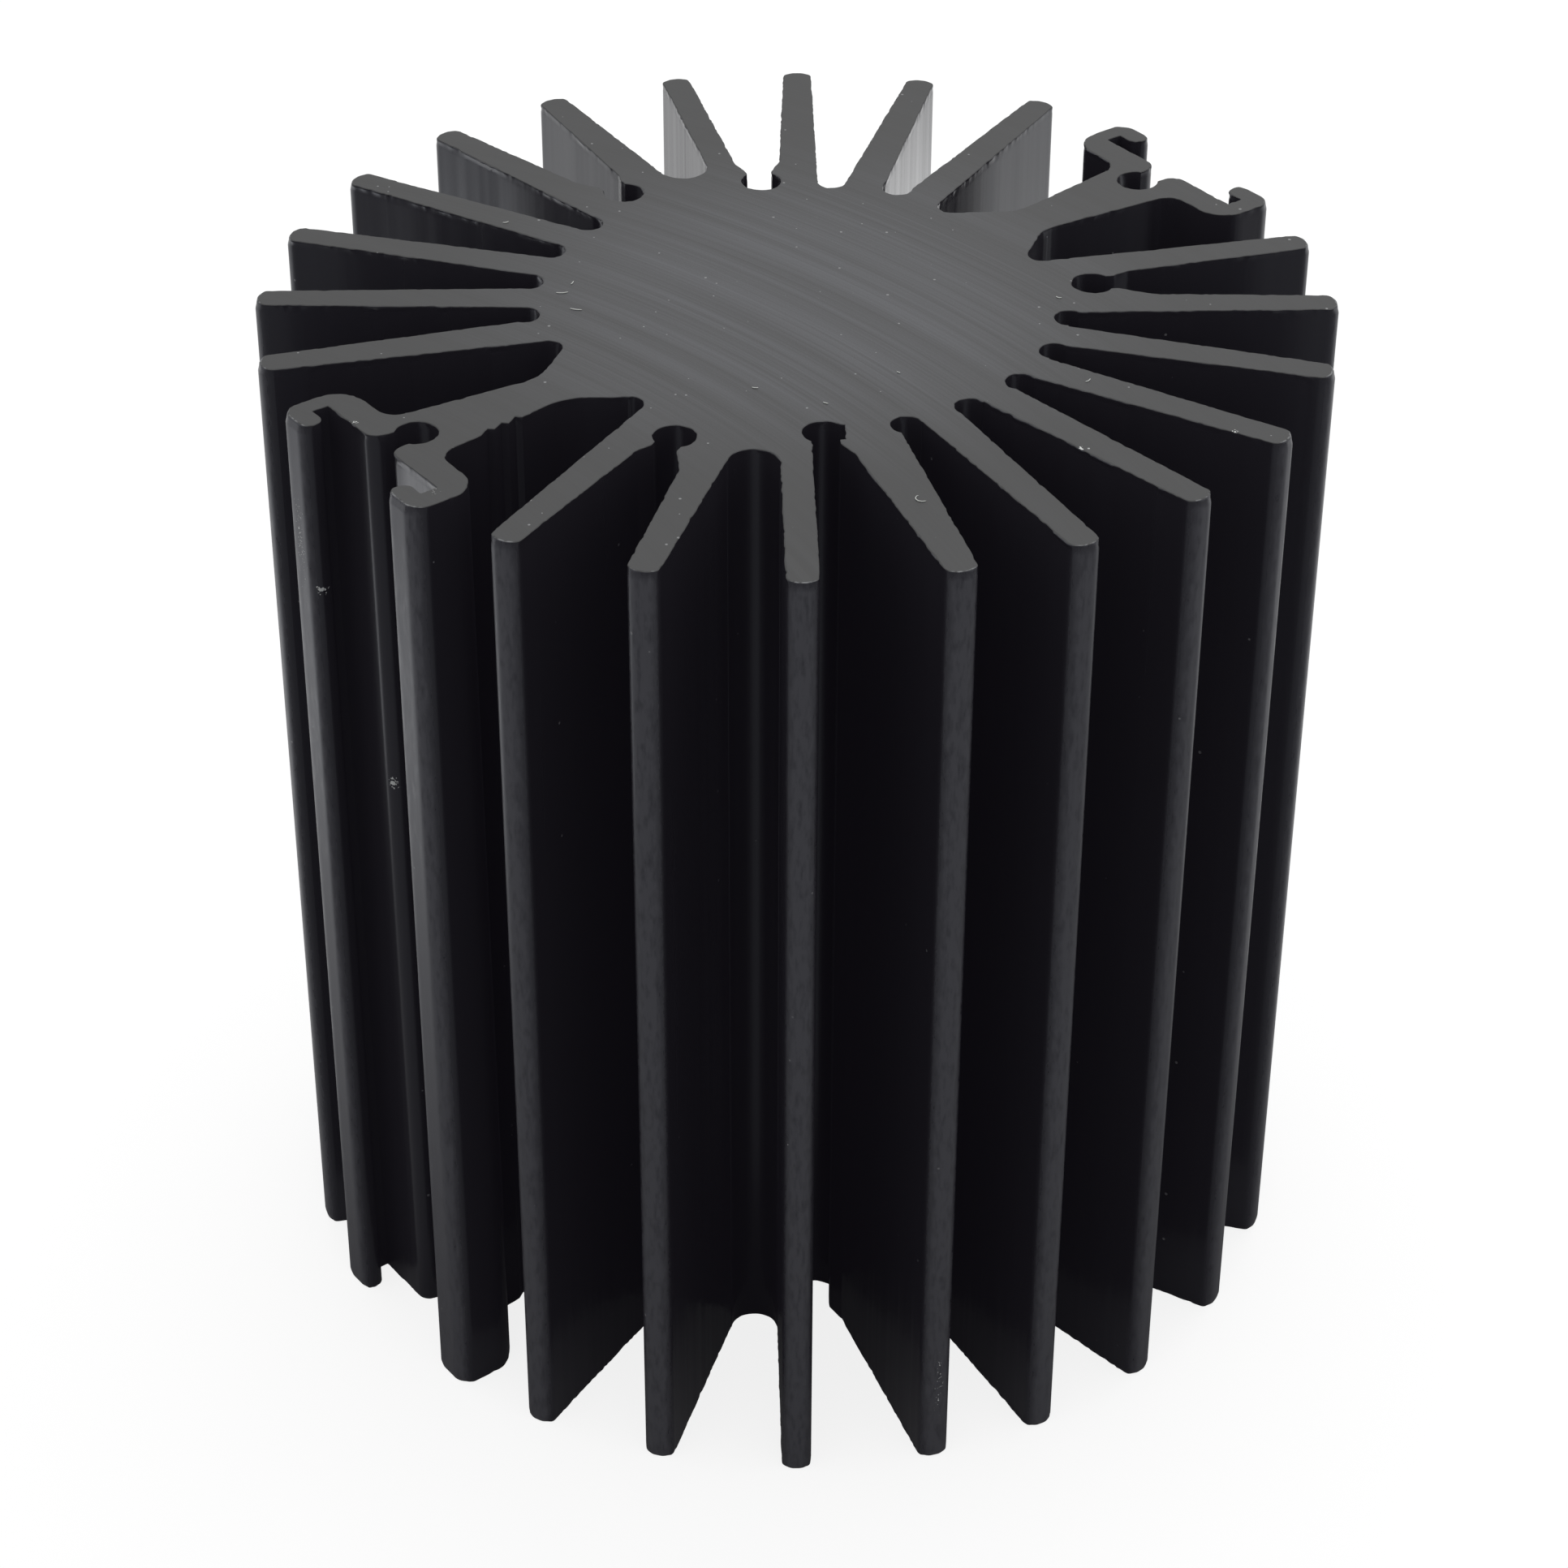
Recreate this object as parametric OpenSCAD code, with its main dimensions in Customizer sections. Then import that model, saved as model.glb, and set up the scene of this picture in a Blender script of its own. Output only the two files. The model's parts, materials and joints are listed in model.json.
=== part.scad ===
// Star-section extruded aluminium heat sink: a round core, twenty tapered radial fins, five open
// screw channels let into the fin roots and two thick arms, each ending in a sliding channel.
// The whole section is one extrusion, sawn square at both ends. Z is the extrusion direction.

/* [Body] */
// diameter across the fin tips
sink_d = 70.4; // [66:0.2:90]
// length sawn from the bar
sink_h = 70.4; // [20:0.2:200]

/* [Fins] */
// thickness of a fin at its tip
fin_tip_t = 2; // [1.8:0.05:2.2]
// how much each fin flank thickens per millimetre towards the core
fin_taper = 0.0195; // [0.012:0.0005:0.022]
// radius on the two corners of a fin tip
fin_corner_r = 0.85; // [0.4:0.05:0.85]
// radius at the root of an ordinary gap
root_r = 1; // [1:0.05:1.15]
// distance of that root's centre from the axis
root_at = 17.75; // [17.3:0.05:17.8]
// radius at the root of the two shallow gaps
shallow_root_r = 1.65; // [1.4:0.05:1.8]
// share of the fins' uneven set that is kept (0 gives an even star)
uneven = 1; // [0:0.1:1]

/* [Screw channels] */
// bore of each screw channel
screw_d = 2.7; // [2.5:0.05:2.9]
// circle of the three outer screw channels
trio_pcd = 39; // [38.4:0.2:40]
// spacing of the two inner screw channels
pair_pcd = 35; // [34.6:0.2:36]
// distance that the pair sits to the left of the bar's axis
pair_shift = 0.4; // [0:0.1:0.5]
// width of the slot that opens each screw channel
slot_w = 1.7; // [1.4:0.05:1.75]
// length of the straight part of that slot
slot_l = 0.5; // [0.3:0.1:0.7]
// angle that the slot flares at on each side
slot_flare = 27; // [22:1:34]

/* [Arms] */
// half thickness of an arm at its waist
arm_waist = 1.7; // [1.5:0.1:1.9]
// how much each arm flank thickens per millimetre outwards
arm_flare = 0.125; // [0.09:0.005:0.14]
// overall width of the channel at the end of an arm
channel_w = 15.4; // [15:0.1:15.8]
// inside width of the sliding channel
channel_in_w = 12.4; // [11.8:0.1:12.8]
// clear mouth between the two lips
mouth_w = 9.2; // [8.6:0.1:9.8]
// clear depth of the sliding channel under the lips
channel_in_t = 1.1; // [0.9:0.1:1.3]
// thickness of the channel's lips
lip_t = 1.65; // [1.4:0.05:1.7]
// thickness of the channel's floor
floor_t = 2.2; // [2:0.1:2.4]
// set-back of the lips from the tip circle, on the arm's centre line
lip_inset = 0.55; // [0.2:0.05:0.8]
// radius on the back of the channel
back_r = 2.1; // [1.7:0.1:2.4]
// radius on the outer corner of a lip
lip_corner_r = 1.15; // [0.8:0.05:1.3]
// radius between an arm and the back of its channel
armpit_r = 1.4; // [1.1:0.1:1.6]
// angle of the sloping root beside an arm
arm_root_angle = 34; // [30:1:38]
// radius at the deep corner of that root
arm_root_r = 0.9; // [0.75:0.05:0.95]
// radius between the sloping root and the arm
arm_foot_r = 3; // [2:0.25:4]
// depth of the three marking grooves on one arm's flank
groove_t = 0.3; // [0.2:0.05:0.4]

/* [Hidden] */
$fn = 96;

pitch = 15;
arm_turn = 37.3;
pair_turn = 96.9;
trio_turn = 7.5;

// distances from the axis of the bar
sink_r = sink_d / 2;
hub_r = root_at - 3.75 * root_r;
hub_in = root_at - 5.75 * root_r;
bend_at = root_at + 2.25 * root_r;
waist_at = root_at + 2.75 * root_r;
groove_at = root_at + 5.25 * root_r;

// smaller lengths that follow the ones above
arm_shift = 0.25 * root_r;
lead_r = 1.05 * root_r;
flare_l = 3 * root_r;
groove_l = 3.5 * groove_t;
groove_gap = 0.07 * root_r;
lap = 0.5 * root_r;

// distances along an arm, from the axis of the bar
lip_out = sink_r - lip_inset;
lip_in = lip_out - lip_t;
floor_out = lip_in - channel_in_t;
floor_in = floor_out - floor_t;
bore_at = floor_in - 0.4 * root_r;

// a gap takes the number of the fin on its clockwise side; fin 0 points to the front
plain_gaps = [1, 2, 3, 4, 5, 10, 15, 16, 17, 18];
fitted_gaps = [11, 13, 23];
fins = [0, 1, 2, 3, 4, 5, 6, 7, 10, 11, 12, 13, 14, 15, 16, 17, 18, 19, 22, 23];

// degrees that a fin leans anticlockwise from its root
function lean(k) =
    uneven * (
        k == 0 ? 1.7
        : k == 1 ? 2.9
        : k == 2 ? -1.4
        : k == 3 ? -2
        : k == 4 ? -1
        : k == 5 || k == 14 ? -0.4
        : k == 7 || k == 13 ? -0.6
        : k == 6 || k == 18 ? 0.8
        : k == 11 ? 0.9
        : k == 12 || k == 15 ? 0.4
        : 0
    );

// how far a fin's root sits off its even place, anticlockwise
function set_off(k) =
    uneven * fin_tip_t * (
        k >= 4 && k <= 7 ? -0.075
        : k == 14 || k == 22 ? 0.125
        : k == 10 || k == 23 ? 0.05
        : 0
    );

// most fins share one taper; the die leaves a few slimmer or fuller at the root
function taper(k) =
    fin_taper * (
        k == 0 || k == 13 ? 0
        : k == 1 ? 2.6
        : k == 14 || k == 19 ? 1.5
        : k == 7 || k == 15 ? 1.25
        : 1
    );

function fin_turn(k) = pitch * k - 90;
function spin(p, a) = [p.x * cos(a) - p.y * sin(a), p.x * sin(a) + p.y * cos(a)];
function unit(p) = p / norm(p);
function cross2(p, q) = p.x * q.y - p.y * q.x;
function meet(p, d, q, e) = p + d * cross2(q - p, e) / cross2(d, e);
function flip(p, s) = [p.x, s * p.y];
function next(k) = (k + 1) % 24;

// half thickness of a fin, and points in a fin's own frame brought to the bar's frame
function half_t(k, x) = fin_tip_t / 2 + taper(k) * (sink_r - x);
function on_fin(k, p) = spin([bend_at, set_off(k)] + spin(p - [bend_at, 0], lean(k)), fin_turn(k));
function flank(k, s, x) = on_fin(k, [x, s * half_t(k, x)]);
function flank_dir(k, s) = unit(flank(k, s, sink_r) - flank(k, s, 0));
function flank_out(k, s) = spin(flank_dir(k, s), 90 * s);

// how far out the root beside an arm touches fin k
function arm_root_at(k) = root_at - root_r * (k == 7 || k == 22 ? 0.45 : 0.75);

// centre of the circle that touches both flanks of the gap after fin k
function nested(k, r) = meet(
    flank(k, 1, 0) + r * flank_out(k, 1),
    flank_dir(k, 1),
    flank(next(k), -1, 0) + r * flank_out(next(k), -1),
    flank_dir(next(k), -1)
);
function even(k, at) = spin([at, 0], fin_turn(k) + pitch / 2);

// radius of a root that touches both flanks of its gap
function fitted_r(k) =
    k == 11 ? 0.95 * root_r
    : k == 23 ? (1 - 0.024 * uneven) * shallow_root_r
    : shallow_root_r;

// radius where the straight slot of a screw channel at the radius at begins to flare
function slot_end(at) = at + sqrt(screw_d * screw_d - slot_w * slot_w) / 2 + slot_l;

// a polygon whose points always run anticlockwise
module plate(p) {
    n = len(p);
    turns = [for (i = [0:n - 1]) cross2(p[i], p[(i + 1) % n])];
    polygon(turns * [for (i = turns) 1] > 0 ? p : [for (i = [1:n]) p[n - i]]);
}

// rounding that fills the chord from p to q out to an arc about c
module bulge(p, corner, q, c, r) {
    intersection() {
        plate([p, corner, q, (p + q) / 4 + c / 2]);
        translate(c) circle(r = r);
    }
}

// a fillet in the valley at corner, touching its two sides at p and q
module fillet(p, corner, q, c, r) {
    difference() {
        plate([p, corner + 0.4 * unit(corner - c), q]);
        translate(c) circle(r = r);
    }
}

module fin(k) {
    m = taper(k);
    long = sqrt(1 + m * m);
    cx = sink_r - fin_corner_r;
    cy = half_t(k, cx) - fin_corner_r * long;
    tx = cx + fin_corner_r * m / long;
    ty = cy + fin_corner_r / long;
    rotate(fin_turn(k))
        translate([bend_at, set_off(k)])
            rotate(lean(k))
                translate([-bend_at, 0]) {
                    plate([
                        [hub_in, -half_t(k, hub_in)],
                        [tx, -ty],
                        [sink_r, -cy],
                        [sink_r, cy],
                        [tx, ty],
                        [hub_in, half_t(k, hub_in)]
                    ]);
                    for (s = [-1, 1])
                        translate([cx, s * cy]) circle(r = fin_corner_r);
                }
}

// web that closes the gap after fin k, out to the root centred at c
module root_web(k, c) {
    x = norm(c) / cos(pitch / 2);
    plate([
        on_fin(k, [hub_in, 0]),
        on_fin(k, [x, 0]),
        on_fin(next(k), [x, 0]),
        on_fin(next(k), [hub_in, 0])
    ]);
}

// web that closes a gap round a screw channel, flared outside the slot
module screw_web(turn, at) {
    end = slot_end(at);
    wide = slot_w / 2 + flare_l * tan(slot_flare);
    hub = [hub_in * cos(pitch / 2), hub_in * sin(pitch / 2)];
    rotate(turn)
        plate([
            hub,
            [end + flare_l, wide],
            [end, slot_w / 2],
            [end, -slot_w / 2],
            [end + flare_l, -wide],
            [hub.x, -hub.y]
        ]);
}

// the bore and its slot
module screw_cut(turn, at) {
    rotate(turn) {
        translate([at, 0]) circle(d = screw_d);
        translate([at, -slot_w / 2]) square([slot_end(at) - at + 0.2 * lap, slot_w]);
    }
}

// hub and fins, with every gap closed down to its root
module star() {
    difference() {
        union() {
            union() {
                circle(r = hub_r);
                for (k = fins) fin(k);
            }
            union() {
                for (k = plain_gaps) root_web(k, even(k, root_at));
                for (k = fitted_gaps) root_web(k, nested(k, fitted_r(k)));
            }
            union() {
                for (i = [0:2]) screw_web(trio_turn + 120 * i, trio_pcd / 2);
                translate([-pair_shift, 0])
                    for (i = [0:1]) screw_web(pair_turn + 180 * i, pair_pcd / 2);
            }
        }
        for (k = plain_gaps)
            translate(even(k, root_at)) circle(r = root_r);
        for (k = fitted_gaps)
            translate(nested(k, fitted_r(k))) circle(r = fitted_r(k));
        for (i = [0:2]) screw_cut(trio_turn + 120 * i, trio_pcd / 2);
        translate([-pair_shift, 0])
            for (i = [0:1]) screw_cut(pair_turn + 180 * i, pair_pcd / 2);
    }
}

// one side of an arm, in the arm's own frame; s is the side and k the fin beside it
module arm_side(turn, s, k, shift) {
    w = channel_w / 2 + s * shift;
    in_w = (channel_in_w + s * shift) / 2;
    nose_r = lip_t / 2;
    nose = (mouth_w + s * shift) / 2 + nose_r;
    half_slot = slot_w / 2;
    long = sqrt(1 + arm_flare * arm_flare);
    stem = [waist_at, arm_waist + s * shift];
    stem_dir = [1, arm_flare] / long;
    stem_out = [-arm_flare, 1] / long;

    hub = flip(spin(on_fin(k, [hub_in, 0]), -turn), s);
    touch = flip(spin(flank(k, -s, arm_root_at(k)), -turn), s);
    away = flip(spin(flank_out(k, -s), -turn), s);
    deep = touch + arm_root_r * away;
    slope_dir = [cos(arm_root_angle), -sin(arm_root_angle)];
    slope_out = [sin(arm_root_angle), cos(arm_root_angle)];
    slope = deep - arm_root_r * slope_out;

    foot = meet(slope, slope_dir, stem, stem_dir);
    foot_c = meet(slope + arm_foot_r * slope_out, slope_dir, stem + arm_foot_r * stem_out, stem_dir);
    pit = meet(stem, stem_dir, [floor_in, 0], [0, 1]);
    pit_c = meet(stem + armpit_r * stem_out, stem_dir, [floor_in - armpit_r, 0], [0, 1]);

    difference() {
        plate([for (p = [
            [hub_in - 4 * lap, -2 * lap],
            hub,
            touch - 1.2 * lap * away,
            touch,
            slope,
            foot,
            pit,
            [floor_in, w - back_r],
            [floor_in + back_r, w],
            [lip_out - lip_corner_r, w],
            [lip_out, w - lip_corner_r],
            [lip_out, nose],
            [lip_in, nose],
            [lip_in, in_w],
            [floor_out, in_w],
            [floor_out, half_slot + lead_r],
            [floor_out - lead_r, half_slot],
            [bore_at, half_slot],
            [bore_at - 2 * lap, -lap]
        ]) flip(p, s)]);
        translate(flip(deep, s)) circle(r = arm_root_r);
    }
    fillet(
        flip(foot_c - arm_foot_r * slope_out, s),
        flip(foot, s),
        flip(foot_c - arm_foot_r * stem_out, s),
        flip(foot_c, s),
        arm_foot_r
    );
    fillet(
        flip(pit_c - armpit_r * stem_out, s),
        flip(pit, s),
        flip(pit_c + [armpit_r, 0], s),
        flip(pit_c, s),
        armpit_r
    );
    bulge(
        [floor_in, s * (w - back_r)],
        [floor_in, s * w],
        [floor_in + back_r, s * w],
        [floor_in + back_r, s * (w - back_r)],
        back_r
    );
    bulge(
        [lip_out - lip_corner_r, s * w],
        [lip_out, s * w],
        [lip_out, s * (w - lip_corner_r)],
        [lip_out - lip_corner_r, s * (w - lip_corner_r)],
        lip_corner_r
    );
    bulge(
        [floor_out, s * (half_slot + lead_r)],
        [floor_out, s * half_slot],
        [floor_out - lead_r, s * half_slot],
        [floor_out - lead_r, s * (half_slot + lead_r)],
        lead_r
    );
    translate([lip_in + nose_r, s * nose]) circle(r = nose_r);
}

// the three saw-tooth grooves that mark one arm
module grooves(shift) {
    for (i = [0:2]) {
        u = groove_at + (groove_l + groove_gap) * i;
        v = arm_waist + shift + arm_flare * (u - waist_at);
        plate([
            [u, v + lap],
            [u, v],
            [u + groove_t, v - groove_t],
            [u + groove_l, v + groove_l * arm_flare],
            [u + groove_l, v + lap]
        ]);
    }
}

module arm(turn, before, after, shift, marked) {
    rotate(turn)
        difference() {
            union() {
                arm_side(turn, -1, before, shift);
                arm_side(turn, 1, after, shift);
            }
            translate([bore_at, 0]) circle(d = screw_d);
            if (marked) grooves(shift);
        }
}

module section() {
    union() {
        star();
        arm(arm_turn, 7, 10, -arm_shift, false);
    }
    arm(arm_turn + 180, 19, 22, arm_shift, true);
}

module heat_sink() {
    color("#1b1b1d")
        linear_extrude(height = sink_h)
            section();
}

heat_sink();
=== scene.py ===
"""Looks for an extruded heat sink: a black-anodised aluminium bar, sawn square and stood on end.

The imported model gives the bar's section and length. This script carries that section up the bar
again as a finer surface, with the burr that the saw leaves round each end, and dresses it in its
two finishes: the anodised sides with their die lines and the sawn, then anodised, ends. A few
fibres of lint lie on the upper end.
Everything is in metres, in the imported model's frame.
"""

from __future__ import annotations

import json
import logging
import math
from collections.abc import Iterable
from dataclasses import dataclass, field
from enum import Enum, IntEnum

import bpy
import numpy as np
from bpy.types import ID, Material, Node, NodeSocket, NodeTree, Object
from mathutils import Matrix, Vector

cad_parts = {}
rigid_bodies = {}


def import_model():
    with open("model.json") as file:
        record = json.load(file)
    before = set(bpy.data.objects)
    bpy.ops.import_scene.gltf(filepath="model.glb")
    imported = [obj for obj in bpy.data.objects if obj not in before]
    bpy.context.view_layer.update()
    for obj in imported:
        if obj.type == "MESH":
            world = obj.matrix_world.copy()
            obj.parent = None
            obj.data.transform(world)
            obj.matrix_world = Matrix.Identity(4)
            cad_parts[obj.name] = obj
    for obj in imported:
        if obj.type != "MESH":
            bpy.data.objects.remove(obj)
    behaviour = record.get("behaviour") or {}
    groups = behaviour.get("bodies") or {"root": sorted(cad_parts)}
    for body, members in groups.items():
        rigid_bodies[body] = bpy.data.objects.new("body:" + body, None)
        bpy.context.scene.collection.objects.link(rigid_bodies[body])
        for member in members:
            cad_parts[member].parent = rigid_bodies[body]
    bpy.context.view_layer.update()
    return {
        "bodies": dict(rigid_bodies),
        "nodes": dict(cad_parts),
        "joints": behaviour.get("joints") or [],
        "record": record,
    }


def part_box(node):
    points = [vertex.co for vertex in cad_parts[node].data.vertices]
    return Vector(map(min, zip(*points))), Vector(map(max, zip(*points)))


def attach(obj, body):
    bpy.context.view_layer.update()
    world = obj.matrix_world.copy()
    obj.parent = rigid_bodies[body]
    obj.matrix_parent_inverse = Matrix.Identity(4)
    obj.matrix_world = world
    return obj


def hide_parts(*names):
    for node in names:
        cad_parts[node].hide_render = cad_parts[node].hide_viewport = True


LOG = logging.getLogger("heat_sink")
MM = 0.001
BODY = "root"
NODE = "heat_sink"
SAME_LEVEL = 1e-6  # heights closer than this, in metres, count as one


class Seed(IntEnum):
    """Seeds of the random values round the section, one for each use."""

    KEYHOLE_WALL = 5
    BURR_FINE = 11
    BURR_BROAD = 12
    TIP_BURR = 13
    RAGGED_BROAD = 21
    RAGGED_FINE = 22


# ---------------------------------------------------------------- colours and nodes


def linear(hex_code: str) -> tuple[float, float, float, float]:
    """Turns an sRGB hex colour into linear RGBA.

    Args:
        hex_code: six hex digits, with or without a leading hash.

    Returns:
        Linear red, green and blue, and an alpha of 1.
    """
    digits = hex_code.lstrip("#")
    srgb = (int(digits[i : i + 2], 16) / 255 for i in (0, 2, 4))
    rgb = (c / 12.92 if c <= 0.04045 else ((c + 0.055) / 1.055) ** 2.4 for c in srgb)
    return (*rgb, 1.0)


def add(tree: NodeTree, kind: str, inputs: dict | None = None, **settings: object) -> Node:
    """Adds one node, with its settings, its values and its links.

    Args:
        tree: the node tree to add to.
        kind: the node's type name, such as "ShaderNodeTexNoise".
        inputs: input name or index to a value, or to the output socket that feeds it.
        **settings: properties to set on the node itself.

    Returns:
        The new node.
    """
    node = tree.nodes.new(kind)
    for name, value in settings.items():
        setattr(node, name, value)
    for key, value in (inputs or {}).items():
        if isinstance(value, NodeSocket):
            tree.links.new(value, node.inputs[key])
        else:
            node.inputs[key].default_value = value
    return node


def empty_material(name: str) -> tuple[Material, NodeTree]:
    """Makes a material with no nodes in it, and returns it with its tree."""
    material = bpy.data.materials.new(name)
    material.use_nodes = True
    material.node_tree.nodes.clear()
    return material, material.node_tree


def ramp(tree: NodeTree, fac: NodeSocket, low: float, high: float) -> NodeSocket:
    """Stretches fac so that low becomes 0 and high becomes 1, clamped and eased at both ends."""
    node = add(
        tree,
        "ShaderNodeMapRange",
        {"Value": fac, "From Min": low, "From Max": high},
        interpolation_type="SMOOTHSTEP",
    )
    return node.outputs["Result"]


def math_node(
    tree: NodeTree,
    operation: str,
    a: NodeSocket | float,
    b: NodeSocket | float = 0.0,
    c: NodeSocket | float = 0.0,
) -> NodeSocket:
    """One Math node; a, b and c are numbers or output sockets."""
    return add(tree, "ShaderNodeMath", {0: a, 1: b, 2: c}, operation=operation).outputs[0]


def mix_colour(
    tree: NodeTree,
    fac: NodeSocket | float,
    a: NodeSocket | tuple[float, ...],
    b: NodeSocket | tuple[float, ...],
) -> NodeSocket:
    """Mixes two colours, each a linear RGBA tuple or an output socket."""
    node = add(tree, "ShaderNodeMix", {0: fac, 6: a, 7: b}, data_type="RGBA")
    return node.outputs[2]


def in_scene(name: str, data: ID) -> Object:
    """Makes an object of the mesh, light or camera, links it to the scene and returns it."""
    thing = bpy.data.objects.new(name, data)
    bpy.context.scene.collection.objects.link(thing)
    return thing


# ---------------------------------------------------------------- finishes


@dataclass(frozen=True)
class DustSpecks:
    """Fine pale dust that has settled on, or stuck to, the bar.

    Attributes:
        spacing_mm: distance between the cells that may hold a speck.
        radius: a speck's radius, as a share of that distance.
        share: share of the cells that hold one.
    """

    spacing_mm: float
    radius: float
    share: float

    def mask(self, tree: NodeTree, place: NodeSocket) -> NodeSocket:
        """Returns a socket that is 1 on a speck and 0 elsewhere.

        Each cell of a Voronoi pattern gets a random number; cells over the limit show a small
        round spot at their own point.
        """
        cells = add(
            tree,
            "ShaderNodeTexVoronoi",
            {"Vector": place, "Scale": 1 / (self.spacing_mm * MM)},
            feature="F1",
        )
        chosen = add(tree, "ShaderNodeSeparateColor", {0: cells.outputs["Color"]})
        kept = math_node(tree, "GREATER_THAN", chosen.outputs[0], 1 - self.share)
        reach = math_node(tree, "MULTIPLY", chosen.outputs[1], self.radius)
        spot = math_node(tree, "LESS_THAN", cells.outputs["Distance"], reach)
        return math_node(tree, "MULTIPLY", kept, spot)


@dataclass(frozen=True)
class Scuff:
    """A patch where the dyed oxide is chipped or rubbed through to pale metal.

    Attributes:
        at_mm: the middle of the patch.
        reach_mm: half its size along X, Y and Z.
        share: how much of its middle is bare.
        grain_mm: size of the single flecks.
        limit: the noise value over which a fleck is bare, where the share is 0.
        fade: how much that limit rises from the middle to the rim.
    """

    at_mm: tuple[float, float, float]
    reach_mm: tuple[float, float, float]
    share: float
    grain_mm: float = 0.16
    limit: float = 0.68
    fade: float = 0.35

    def mask(self, tree: NodeTree, place: NodeSocket) -> NodeSocket:
        """Returns a socket that is 1 on bare flecks: noise over a limit that rises outwards."""
        offset = add(
            tree,
            "ShaderNodeVectorMath",
            {0: place, 1: tuple(c * MM for c in self.at_mm)},
            operation="SUBTRACT",
        ).outputs[0]
        scaled = add(
            tree,
            "ShaderNodeVectorMath",
            {0: offset, 1: tuple(1 / (r * MM) for r in self.reach_mm)},
            operation="MULTIPLY",
        ).outputs[0]
        away = add(tree, "ShaderNodeVectorMath", {0: scaled}, operation="LENGTH").outputs["Value"]
        flecks = add(
            tree,
            "ShaderNodeTexNoise",
            {"Vector": place, "Scale": 1 / (self.grain_mm * MM), "Detail": 1.0},
        ).outputs["Fac"]
        middle = self.limit - self.fade * self.share
        limit = math_node(tree, "MULTIPLY_ADD", away, self.fade, middle)
        return math_node(tree, "GREATER_THAN", flecks, limit)


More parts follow.
